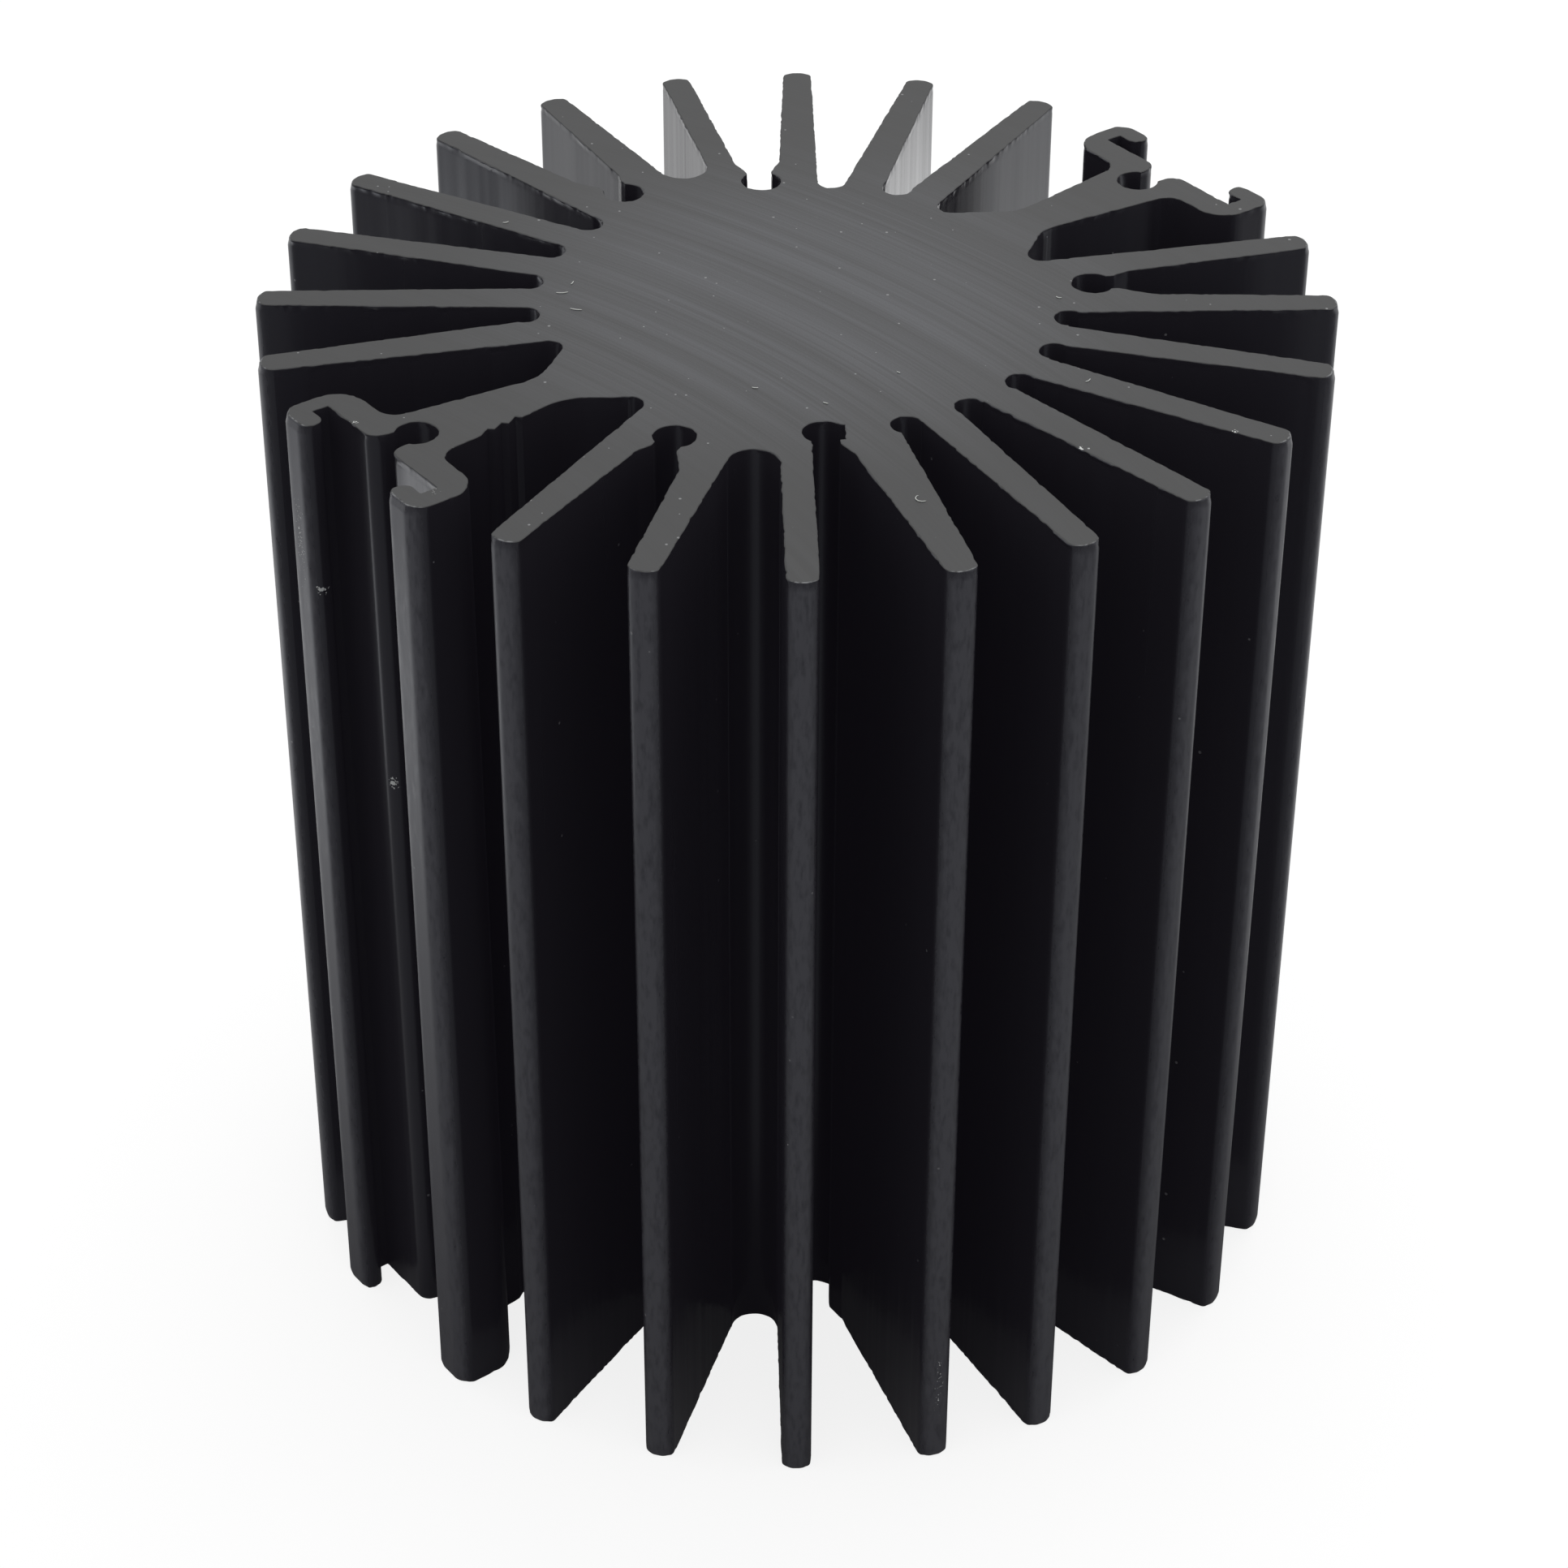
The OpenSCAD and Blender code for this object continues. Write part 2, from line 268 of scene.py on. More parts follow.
@dataclass(frozen=True)
class AnodisedSide:
    """Black anodised aluminium as extruded.

    The oxide layer is clear, hard and dyed black: nearly all light that enters is lost, so the eye
    gets a deep black face-on and a satin reflection at a slant. The die leaves fine lines that run
    the length of the bar. The tips are greyer and rougher, in patches, from the tumbling barrel.

    Attributes:
        dye: the dyed oxide's own colour.
        tint: colour of its reflections.
        tumbled_and_rim_shade: colour where the barrel has dulled it, with tumbled_roughness; just
            under the upper rim less of it is mixed in, which paints shade there under the burr.
        painted_glow: colour of a faint glow that the whole side gives off, a painted veil of light
            for what the bright tent lays over deep blacks.
        roughness: the satin's roughness, which changes by satin_spread from line to line.
        anisotropy: how much more the die lines scatter the light across than along themselves.
        line_mm: width of the fine die lines; broad_line_mm is that of the broad ones.
        line_length_mm: how far a line keeps its look along the bar.
        line_shares: shares of the fine and the broad lines in the relief.
        relief_mm: depth of the lines, and relief_strength how much of it shows.
        patch_mm: width and length of the tumbled patches.
        patch_range: factor and offset that turn their noise into a share near 1.
    """

    name: str = "anodised_aluminium_side"
    dye: str = "#1c1b1f"
    tint: str = "#e6ecf8"
    tumbled_and_rim_shade: str = "#404044"
    tumbled_roughness: float = 0.42
    painted_glow: str = "#08070a"
    ior: float = 1.5
    roughness: float = 0.22
    satin_spread: tuple[float, float] = (-0.05, 0.06)
    anisotropy: float = 0.5
    line_mm: float = 0.22
    broad_line_mm: float = 1.1
    line_length_mm: float = 160.0
    line_shares: tuple[float, float] = (0.4, 0.6)
    relief_mm: float = 0.012
    relief_strength: float = 0.5
    patch_mm: tuple[float, float] = (0.3, 1.1)
    patch_range: tuple[float, float] = (2.2, -0.15)
    dust: DustSpecks = DustSpecks(1.2, 0.09, 0.16)
    dust_colour: str = "#606062"
    bare_colour: str = "#b4b6b5"
    scuffs: tuple[Scuff, ...] = (
        Scuff((-29.9, -17.05, 58.6), (0.55, 0.55, 0.45), 0.9),
        Scuff((-26.0, -18.2, 44.6), (0.5, 0.5, 0.6), 0.85),
        Scuff((-31.2, -16.4, 62.0), (1.2, 1.2, 9.0), 0.22, 0.1),
        Scuff((-0.75, -34.0, 46.0), (0.5, 0.9, 30.0), 0.3, 0.11),
        Scuff((9.9, -33.6, 7.0), (0.6, 0.6, 7.0), 0.34, 0.13),
        Scuff((0.0, -34.9, 28.4), (0.3, 0.3, 0.3), 0.8),
    )

    def material(self) -> Material:
        """Builds the material."""
        material, tree = empty_material(self.name)
        place = add(tree, "ShaderNodeTexCoord").outputs["Object"]
        fine = self.lines(tree, place, self.line_mm, 3.0, self.line_length_mm)
        broad = self.lines(tree, place, self.broad_line_mm, 2.0, self.line_length_mm)
        fine_share, broad_share = self.line_shares
        both = math_node(tree, "MULTIPLY", fine, fine_share)
        both = math_node(tree, "MULTIPLY_ADD", broad, broad_share, both)
        specks = self.dust.mask(tree, place)
        # This mask is lower just under the upper rim of each tip, which paints a darker band of
        # shade under the burr.
        tumbled_and_rim_shade = add(tree, "ShaderNodeAttribute", attribute_name="tumbled_and_rim_shade").outputs["Fac"]
        width, length = self.patch_mm
        patchy = self.lines(tree, place, width, 2.0, length)
        patchy = math_node(tree, "MULTIPLY_ADD", patchy, *self.patch_range)
        tumbled_and_rim_shade = math_node(tree, "MULTIPLY", tumbled_and_rim_shade, patchy)
        colour = mix_colour(tree, tumbled_and_rim_shade, linear(self.dye), linear(self.tumbled_and_rim_shade))
        colour = mix_colour(tree, specks, colour, linear(self.dust_colour))
        bare = 0.0
        for scuff in self.scuffs:
            bare = math_node(tree, "MAXIMUM", scuff.mask(tree, place), bare)
        colour = mix_colour(tree, bare, colour, linear(self.bare_colour))
        satin = add(
            tree,
            "ShaderNodeMapRange",
            {
                "Value": both,
                "From Min": 0.3,
                "From Max": 0.7,
                "To Min": self.roughness + self.satin_spread[0],
                "To Max": self.roughness + self.satin_spread[1],
            },
        ).outputs["Result"]
        satin = add(
            tree, "ShaderNodeMix", {0: tumbled_and_rim_shade, 2: satin, 3: self.tumbled_roughness}
        ).outputs[0]
        bump = add(
            tree,
            "ShaderNodeBump",
            {"Strength": self.relief_strength, "Distance": self.relief_mm * MM, "Height": both},
        )
        shader = add(
            tree,
            "ShaderNodeBsdfPrincipled",
            {
                "Base Color": colour,
                "Roughness": satin,
                "IOR": self.ior,
                "Specular Tint": linear(self.tint),
                "Anisotropic": self.anisotropy,
                "Tangent": self.across(tree),
                "Normal": bump.outputs["Normal"],
                # The side glows faintly everywhere: painted light standing in for the veil that the
                # bright tent lays over deep blacks.
                "Emission Color": linear(self.painted_glow),
                "Emission Strength": 1.0,
            },
        )
        add(tree, "ShaderNodeOutputMaterial", {"Surface": shader.outputs[0]})
        return material

    def across(self, tree: NodeTree) -> NodeSocket:
        """Direction on the surface, square to the die lines, in which they scatter the light."""
        normal = add(tree, "ShaderNodeTexCoord").outputs["Normal"]
        level = add(
            tree, "ShaderNodeVectorMath", {0: (0, 0, 1), 1: normal}, operation="CROSS_PRODUCT"
        ).outputs[0]
        return add(
            tree, "ShaderNodeVectorTransform", {0: level}, convert_from="OBJECT", convert_to="WORLD"
        ).outputs[0]

    def lines(
        self,
        tree: NodeTree,
        place: NodeSocket,
        width_mm: float,
        detail: float,
        length_mm: float,
    ) -> NodeSocket:
        """Noise drawn out along Z, so that it reads as marks width_mm wide and length_mm long."""
        across = 1 / (width_mm * MM)
        along = 1 / (length_mm * MM)
        stretched = add(
            tree, "ShaderNodeMapping", {"Vector": place, "Scale": (across, across, along)}
        ).outputs[0]
        noise = add(
            tree,
            "ShaderNodeTexNoise",
            {"Vector": stretched, "Scale": 1.0, "Detail": detail, "Roughness": 0.6},
        )
        return noise.outputs["Fac"]


@dataclass(frozen=True)
class SawnEnd:
    """The bar's end, sawn across and then anodised with the rest.

    The blade leaves shallow arcs that scatter the light, so the end is a matt mid grey.

    Attributes:
        lit_hub_grey: colour inside the first hub_edge_mm, and shaded_fin_grey beyond the second;
            the end is painted darker outwards, as painted shade for light falling off from the
            middle.
        contrast: how strongly the marks change the colour.
        blade_centre_mm: the middle of the arcs, in plan.
        arc_mm: width of the fine arcs; broad_arc_mm is that of the broad ones.
        arc_length_mm: how far an arc keeps its look along itself.
        grain_mm: size of the fine grain.
        mark_shares: shares of the fine arcs, the grain and the broad arcs in the tone.
        relief_mm: depth of the marks, and relief_strength how much of it shows.
        chatter_at_mm: where the blade chattered, and chatter_reach_mm how far around.
        chatter_range: how strong the chatter is far off and, added to that, in its middle.
        chatter_painted_shading: how strongly its bands are painted lighter and darker, as painted
            light and shade across its ridges, and chatter_relief_mm how deep it is.
        rim_highlight_grain_mm: size of the flecks into which the painted highlight on the rim is
            broken.
    """

    name: str = "anodised_aluminium_sawn_end"
    lit_hub_grey: str = "#2e2f33"
    shaded_fin_grey: str = "#0d0e10"
    hub_edge_mm: tuple[float, float] = (8.0, 26.0)
    contrast: float = 1.7
    ior: float = 1.6
    roughness: float = 0.62
    blade_centre_mm: tuple[float, float] = (-62.0, -62.0)
    arc_mm: float = 0.2
    broad_arc_mm: float = 1.15
    arc_length_mm: float = 45.0
    grain_mm: float = 0.1
    mark_shares: tuple[float, float, float] = (0.5, 0.3, 0.2)
    relief_mm: float = 0.012
    relief_strength: float = 0.6
    chatter_at_mm: tuple[float, float] = (0.3, -33.0)
    chatter_reach_mm: float = 9.0
    chatter_range: tuple[float, float] = (0.06, 0.85)
    chatter_painted_shading: float = 0.8
    chatter_relief_mm: float = 0.1
    rim_highlight_grain_mm: float = 0.35
    dust: DustSpecks = DustSpecks(0.75, 0.14, 0.3)
    grit: DustSpecks = DustSpecks(2.6, 0.05, 0.3)
    dust_colour: str = "#727374"
    grit_colour: str = "#a2a4a4"
    rim_highlight_colour: str = "#8c8e90"
    bare_colour: str = "#c4c6c4"
    nicks: tuple[Scuff, ...] = (
        Scuff((26.9, -17.1, 70.4), (0.35, 0.3, 0.3), 0.9, 0.12),
        Scuff((17.3, -19.3, 70.4), (0.35, 0.3, 0.3), 0.9, 0.12),
        Scuff((-21.6, -24.9, 70.4), (0.7, 1.0, 0.3), 0.25, 0.1),
        Scuff((-27.2, -16.5, 70.4), (0.4, 0.3, 0.3), 0.7, 0.1),
    )

    def material(self) -> Material:
        """Builds the material."""
        material, tree = empty_material(self.name)
        place = add(tree, "ShaderNodeTexCoord").outputs["Object"]
        fine = self.arcs(tree, place, self.arc_mm, 3.0)
        broad = self.arcs(tree, place, self.broad_arc_mm, 0.0)
        grain = add(
            tree,
            "ShaderNodeTexNoise",
            {"Vector": place, "Scale": 1 / (self.grain_mm * MM), "Detail": 1.0},
        ).outputs["Fac"]
        near = self.chatter(tree, place)
        fine_share, grain_share, broad_share = self.mark_shares
        tone = math_node(tree, "MULTIPLY", grain, grain_share)
        tone = math_node(tree, "MULTIPLY_ADD", fine, fine_share, tone)
        tone = math_node(tree, "MULTIPLY_ADD", broad, broad_share, tone)
        # The chatter's ridges are painted in lighter and darker bands: painted light and shade,
        # beside the bump that gives their relief.
        painted_band_shading = math_node(tree, "MULTIPLY", math_node(tree, "SUBTRACT", broad, 0.5), near)
        tone = math_node(tree, "MULTIPLY_ADD", painted_band_shading, self.chatter_painted_shading, tone)
        shade = math_node(tree, "MULTIPLY_ADD", tone, 2 * self.contrast, 1 - self.contrast)
        away = add(
            tree, "ShaderNodeVectorMath", {0: self.flat(tree, place)}, operation="LENGTH"
        ).outputs["Value"]
        # The end is painted darker from the hub out to the fins: painted shade for the light
        # falling off away from the middle.
        inner, outer = (r * MM for r in self.hub_edge_mm)
        colour = mix_colour(
            tree, ramp(tree, away, inner, outer), linear(self.lit_hub_grey), linear(self.shaded_fin_grey)
        )
        colour = add(
            tree, "ShaderNodeVectorMath", {0: colour, "Scale": shade}, operation="SCALE"
        ).outputs[0]
        colour = mix_colour(tree, self.dust.mask(tree, place), colour, linear(self.dust_colour))
        colour = mix_colour(tree, self.grit.mask(tree, place), colour, linear(self.grit_colour))
        # The tips' top rim is painted paler: a painted highlight where the burr's edge catches the
        # light.
        colour = mix_colour(tree, self.painted_rim_highlight(tree, place), colour, linear(self.rim_highlight_colour))
        bare = 0.0
        for nick in self.nicks:
            bare = math_node(tree, "MAXIMUM", nick.mask(tree, place), bare)
        colour = mix_colour(tree, bare, colour, linear(self.bare_colour))
        ripple = add(
            tree,
            "ShaderNodeBump",
            {"Strength": near, "Distance": self.chatter_relief_mm * MM, "Height": broad},
        )
        bump = add(
            tree,
            "ShaderNodeBump",
            {
                "Strength": self.relief_strength,
                "Distance": self.relief_mm * MM,
                "Height": tone,
                "Normal": ripple.outputs["Normal"],
            },
        )
        shader = add(
            tree,
            "ShaderNodeBsdfPrincipled",
            {
                "Base Color": colour,
                "Roughness": self.roughness,
                "IOR": self.ior,
                "Normal": bump.outputs["Normal"],
            },
        )
        add(tree, "ShaderNodeOutputMaterial", {"Surface": shader.outputs[0]})
        return material

    def painted_rim_highlight(self, tree: NodeTree, place: NodeSocket) -> NodeSocket:
        """How strongly the rim is painted paler, as a highlight where the burr's edge catches the
        light: the surface's "rim_highlight" value, broken up by noise.
        """
        rim_highlight = add(tree, "ShaderNodeAttribute", attribute_name="rim_highlight").outputs["Fac"]
        noise = add(
            tree,
            "ShaderNodeTexNoise",
            {"Vector": place, "Scale": 1 / (self.rim_highlight_grain_mm * MM), "Detail": 1.0},
        ).outputs["Fac"]
        return math_node(tree, "MULTIPLY", rim_highlight, ramp(tree, noise, 0.35, 0.65))

    def flat(self, tree: NodeTree, place: NodeSocket) -> NodeSocket:
        """The place with its height taken out."""
        return add(
            tree, "ShaderNodeVectorMath", {0: place, 1: (1, 1, 0)}, operation="MULTIPLY"
        ).outputs[0]

    def chatter(self, tree: NodeTree, place: NodeSocket) -> NodeSocket:
        """How strongly the blade chattered: most at one fin's tip and hardly at all further off."""
        x, y = (c * MM for c in self.chatter_at_mm)
        away = add(
            tree,
            "ShaderNodeVectorMath",
            {0: self.flat(tree, place), 1: (x, y, 0.0)},
            operation="DISTANCE",
        ).outputs["Value"]
        near = math_node(tree, "SUBTRACT", 1.0, ramp(tree, away, 0.0, self.chatter_reach_mm * MM))
        least, more = self.chatter_range
        return math_node(tree, "MULTIPLY_ADD", near, more, least)

    def arcs(
        self, tree: NodeTree, place: NodeSocket, width_mm: float, detail: float
    ) -> NodeSocket:
        """Noise in polar places about the blade's centre, drawn out along the arcs.

        The place becomes (distance from the centre, angle about it), each scaled so that one unit
        is the line's width across and its length along.
        """
        cx, cy = (c * MM for c in self.blade_centre_mm)
        away = math.hypot(cx, cy)
        moved = add(
            tree, "ShaderNodeVectorMath", {0: place, 1: (-cx, -cy, 0.0)}, operation="ADD"
        ).outputs[0]
        axes = add(tree, "ShaderNodeSeparateXYZ", {0: moved})
        x, y = axes.outputs[0], axes.outputs[1]
        squares = math_node(tree, "MULTIPLY_ADD", x, x, math_node(tree, "MULTIPLY", y, y))
        radius = math_node(tree, "SQRT", squares)
        angle = math_node(tree, "ARCTAN2", y, x)
        across = math_node(tree, "MULTIPLY", radius, 1 / (width_mm * MM))
        along = math_node(tree, "MULTIPLY", angle, away / (self.arc_length_mm * MM))
        polar = add(tree, "ShaderNodeCombineXYZ", {0: across, 1: along}).outputs[0]
        noise = add(
            tree,
            "ShaderNodeTexNoise",
            {"Vector": polar, "Scale": 1.0, "Detail": detail, "Roughness": 0.65},
            noise_dimensions="2D",
        )
        return noise.outputs["Fac"]


# ---------------------------------------------------------------- the bar


class End(Enum):
    """The two sawn ends of the bar."""

    BOTTOM = -1
    TOP = 1


@dataclass
class Section:
    """The bar's outline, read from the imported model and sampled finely.

    Attributes:
        points: (n, 2) places round the outline, anticlockwise.
        normals: (n, 2) unit vectors that point out of the metal.
        stations: (n,) distance travelled along the outline.
        length: distance once round.
    """

    points: np.ndarray
    normals: np.ndarray
    stations: np.ndarray
    length: float

    @classmethod
    def of_node(cls, node: Object, step: float) -> Section:
        """Reads the outline of the node's top face and samples it at most step apart.

        The outline is made of the edges that only one top triangle has. Following each edge to
        the next is done for all at once, by doubling the jump each time.

        Args:
            node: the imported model's solid.
            step: greatest distance between neighbouring points.

        Returns:
            The sampled outline.
        """
        mesh = node.data
        mesh.calc_loop_triangles()
        places = np.empty(len(mesh.vertices) * 3)
        mesh.vertices.foreach_get("co", places)
        places = places.reshape(-1, 3)
        triangles = np.empty(len(mesh.loop_triangles) * 3, dtype=np.int64)
        mesh.loop_triangles.foreach_get("vertices", triangles)
        triangles = triangles.reshape(-1, 3)
        top = places[:, 2].max()
        on_top = np.all(np.abs(places[triangles, 2] - top) < SAME_LEVEL, axis=1)
        flat, merged = np.unique(places[:, :2], axis=0, return_inverse=True)
        faces = merged.reshape(-1)[triangles[on_top]]
        count = len(flat)
        starts = faces.reshape(-1)
        ends = np.roll(faces, -1, axis=1).reshape(-1)
        outer = ~np.isin(starts * count + ends, ends * count + starts)
        starts, ends = starts[outer], ends[outer]

        follower = np.arange(count)
        follower[starts] = ends
        last = starts[ends == starts[0]][0]
        follower[last] = last
        jumps = np.where(np.arange(count) == last, 0, 1)
        for _ in range(int(math.ceil(math.log2(len(starts)))) + 1):
            jumps = jumps + jumps[follower]
            follower = follower[follower]
        order = starts[np.argsort(-jumps[starts])]
        return cls.sampled(flat[order], step)

    @classmethod
    def sampled(cls, corners: np.ndarray, step: float) -> Section:
        """Adds points between the corners, and works out the normals.

        Args:
            corners: (n, 2) corners of the outline, anticlockwise.
            step: greatest distance between neighbouring points.

        Returns:
            The sampled outline.
        """
        closed = np.vstack([corners, corners[:1]])
        spans = np.linalg.norm(np.diff(closed, axis=0), axis=1)
        at = np.concatenate([[0.0], np.cumsum(spans)])
        parts = np.maximum(np.ceil(spans / step), 1).astype(int)
        owner = np.repeat(np.arange(len(spans)), parts)
        inside = np.arange(parts.sum()) - np.repeat(np.cumsum(parts) - parts, parts)
        share = (inside / parts[owner])[:, None]
        points = closed[owner] * (1 - share) + closed[owner + 1] * share
        stations = at[owner] + share[:, 0] * spans[owner]
        ahead = np.roll(points, -1, axis=0) - points
        ahead /= np.linalg.norm(ahead, axis=1)[:, None]
        along = ahead + np.roll(ahead, 1, axis=0)
        along /= np.linalg.norm(along, axis=1)[:, None]
        normals = np.column_stack([along[:, 1], -along[:, 0]])
        return cls(points, normals, stations, float(at[-1]))

    def noise(self, wavelength_mm: float, seed: Seed) -> np.ndarray:
        """Smooth random values from 0 to 1 round the outline, with the given wavelength."""
        random = np.random.default_rng(int(seed))
        knots = int(self.length / (wavelength_mm * MM))
        values = random.random(knots)
        at = self.stations / self.length * knots
        low = np.floor(at).astype(int)
        ease = at - low
        ease = ease * ease * (3 - 2 * ease)
        return values[low % knots] * (1 - ease) + values[(low + 1) % knots] * ease


def eased(values: np.ndarray, low: float, high: float) -> np.ndarray:
    """0 below low, 1 above high, and a smooth step between."""
    share = np.clip((values - low) / (high - low), 0, 1)
    return share * share * (3 - 2 * share)


@dataclass(frozen=True)
class RaggedWall:
    """The wall of the front keyhole that the die has left square and rough.

    Attributes:
        centre_mm: the keyhole's centre in plan.
        half_mm: half the rough part's length, along Y.
        reach_mm: how far from the centre, along X, the rough part starts and ends.
        wall_mm: the least distance of the rough wall from the centre.
        rough_mm: how much further out it may be, with rough_wave_mm between the bumps.
    """

    centre_mm: tuple[float, float] = (1.7, -17.37)
    half_mm: float = 0.92
    reach_mm: tuple[float, float] = (0.2, 1.5)
    wall_mm: float = 1.26
    rough_mm: float = 0.12
    rough_wave_mm: float = 0.35

    def tear(self, section: Section) -> None:
        """Moves the section's points on this wall out along X to a rough, nearly straight line."""
        centre = np.array(self.centre_mm) * MM
        near, far = (reach * MM for reach in self.reach_mm)
        from_centre = section.points - centre
        torn = (
            (np.abs(from_centre[:, 1]) < self.half_mm * MM)
            & (from_centre[:, 0] > near)
            & (from_centre[:, 0] < far)
        )
        rough = section.noise(self.rough_wave_mm, Seed.KEYHOLE_WALL)
        wall = (self.wall_mm + self.rough_mm * rough) * MM
        square = np.maximum(from_centre[:, 0], wall)
        section.points[:, 0] = np.where(torn, centre[0] + square, section.points[:, 0])


@dataclass(frozen=True)
class EndProfile:
    """The edge between the sawn face and the side, as one value for each ring of points.

    Attributes:
        depth: how far below the sawn face the ring lies, as a share of the burr's depth.
        stand: how far the ring stands out, as a share of the burr.
        rounded: how far it is drawn in at a tip, as a share of the tip's round.
        broken: how far it is broken away elsewhere, as a share of the ragged edge.
        dulled_and_rim_shade: how much of the barrel's dulling it shows; the low shares next to the
            upper sawn face paint a dark band of shade under the burr.
    """

    depth: tuple[float, ...] = (0.0, 0.05, 0.14, 0.24, 0.52, 0.8, 1.0)
    stand: tuple[float, ...] = (-0.6, 0.6, 1.0, 0.6, -0.5, -0.35, 0.0)
    rounded: tuple[float, ...] = (1.0, 0.86, 0.72, 0.58, 0.27, 0.07, 0.0)
    broken: tuple[float, ...] = (1.0, 0.9, 0.75, 0.55, 0.2, 0.0, 0.0)
    dulled_and_rim_shade: tuple[float, ...] = (0.3, 0.3, 0.3, 0.35, 0.5, 0.75, 1.0)

    def column(self, name: str) -> np.ndarray:
        """One of the values for each ring, as an (m, 1) column."""
        return np.array(getattr(self, name))[:, None]


@dataclass
class HeatSink:
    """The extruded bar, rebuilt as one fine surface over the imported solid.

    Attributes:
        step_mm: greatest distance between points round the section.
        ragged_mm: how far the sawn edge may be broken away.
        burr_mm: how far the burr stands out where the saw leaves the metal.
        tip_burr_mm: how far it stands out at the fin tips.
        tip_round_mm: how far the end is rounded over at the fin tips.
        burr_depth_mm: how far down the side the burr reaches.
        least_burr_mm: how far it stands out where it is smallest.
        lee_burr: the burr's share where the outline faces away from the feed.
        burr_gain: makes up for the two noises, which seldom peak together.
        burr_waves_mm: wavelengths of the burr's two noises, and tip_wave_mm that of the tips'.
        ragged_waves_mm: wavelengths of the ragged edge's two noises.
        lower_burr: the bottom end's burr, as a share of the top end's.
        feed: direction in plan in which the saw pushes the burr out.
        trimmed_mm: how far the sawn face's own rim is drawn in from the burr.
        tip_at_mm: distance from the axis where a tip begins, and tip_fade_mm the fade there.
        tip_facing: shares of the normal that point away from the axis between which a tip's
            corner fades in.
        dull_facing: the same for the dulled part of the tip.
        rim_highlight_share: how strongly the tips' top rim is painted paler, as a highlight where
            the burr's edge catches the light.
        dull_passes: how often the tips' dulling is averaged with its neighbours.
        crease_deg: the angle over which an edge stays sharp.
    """

    step_mm: float = 0.135
    ragged_mm: float = 0.11
    burr_mm: float = 0.06
    tip_burr_mm: float = 0.03
    tip_round_mm: float = 0.2
    burr_depth_mm: float = 0.62
    least_burr_mm: float = 0.008
    lee_burr: float = 0.35
    burr_gain: float = 1.6
    burr_waves_mm: tuple[float, float] = (0.5, 2.3)
    tip_wave_mm: float = 1.4
    ragged_waves_mm: tuple[float, float] = (0.6, 0.27)
    lower_burr: float = 0.5
    feed: tuple[float, float] = (-0.6, -0.8)
    trimmed_mm: float = 0.02
    tip_at_mm: float = 34.1
    tip_fade_mm: float = 0.9
    tip_facing: tuple[float, float] = (0.3, 0.9)
    dull_facing: tuple[float, float] = (0.6, 0.85)
    rim_highlight_share: float = 0.5
    dull_passes: int = 8
    crease_deg: float = 32.0
    profile: EndProfile = field(default_factory=EndProfile)
    keyhole: RaggedWall = field(default_factory=RaggedWall)
    side: AnodisedSide = field(default_factory=AnodisedSide)
    end: SawnEnd = field(default_factory=SawnEnd)

    def build(self, node: Object) -> Object:
        """Builds the bar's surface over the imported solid.

        The surface is rings of the section, one above the other. Near each end the rings step
        out to the burr and back in to the sawn face. The bottom end has every other ring only.

        Args:
            node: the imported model's solid.

        Returns:
            The finished piece, which rides on the body and replaces the solid.
        """
        low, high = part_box(NODE)
        section = Section.of_node(node, self.step_mm * MM)
        self.keyhole.tear(section)
        tip = self.tips(section, self.tip_facing)
        burr = self.burr(section, tip)
        rings = np.vstack(
            [
                self.end_rings(section, burr * self.lower_burr, tip, low.z, End.BOTTOM)[::2],
                self.end_rings(section, burr, tip, high.z, End.TOP)[::-1],
            ]
        )
        # The tips' top rim is painted paler, as a highlight where the burr's edge catches the
        # light.
        piece = self.skin(rings, tip * self.rim_highlight_share, self.tumble_and_rim_shade(section, len(rings)))
        piece.data.materials.append(self.side.material())
        piece.data.materials.append(self.end.material())
        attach(piece, BODY)
        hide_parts(NODE)
        LOG.info("bar: %d points round the section, %d rings", len(section.points), len(rings))
        return piece

    def tips(self, section: Section, facing: tuple[float, float]) -> np.ndarray:
        """1 on the outermost part of each fin and lip, fading to 0 round its corners.

        Args:
            section: the outline.
            facing: shares of the normal that point away from the axis, for 0 and for 1.

        Returns:
            (n,) values from 0 to 1.
        """
        outward = np.einsum("ij,ij->i", section.normals, section.points)
        radius = np.linalg.norm(section.points, axis=1)
        tip = eased(radius, self.tip_at_mm * MM, (self.tip_at_mm + self.tip_fade_mm) * MM)
        return tip * eased(outward / radius, *facing)

    def tumble_and_rim_shade(self, section: Section, levels: int) -> np.ndarray:
        """How far the barrel has dulled each point: the tips, fading over half a millimetre.

        Just under the upper rim each tip keeps less of it, which paints a darker band there as
        shade under the burr.

        Args:
            section: the outline.
            levels: how many rings the bar has; the last ones are its upper end.

        Returns:
            (levels, n) values from 0 to 1.
        """
        dull = self.tips(section, self.dull_facing)
        for _ in range(self.dull_passes):
            dull = (np.roll(dull, 1) + dull + np.roll(dull, -1)) / 3
        # Near the upper sawn face the share drops, which paints shade under the burr.
        upper = self.profile.column("dulled_and_rim_shade")[::-1]
        share = np.vstack([np.ones((levels - len(upper), 1)), upper])
        return share * dull[None, :]

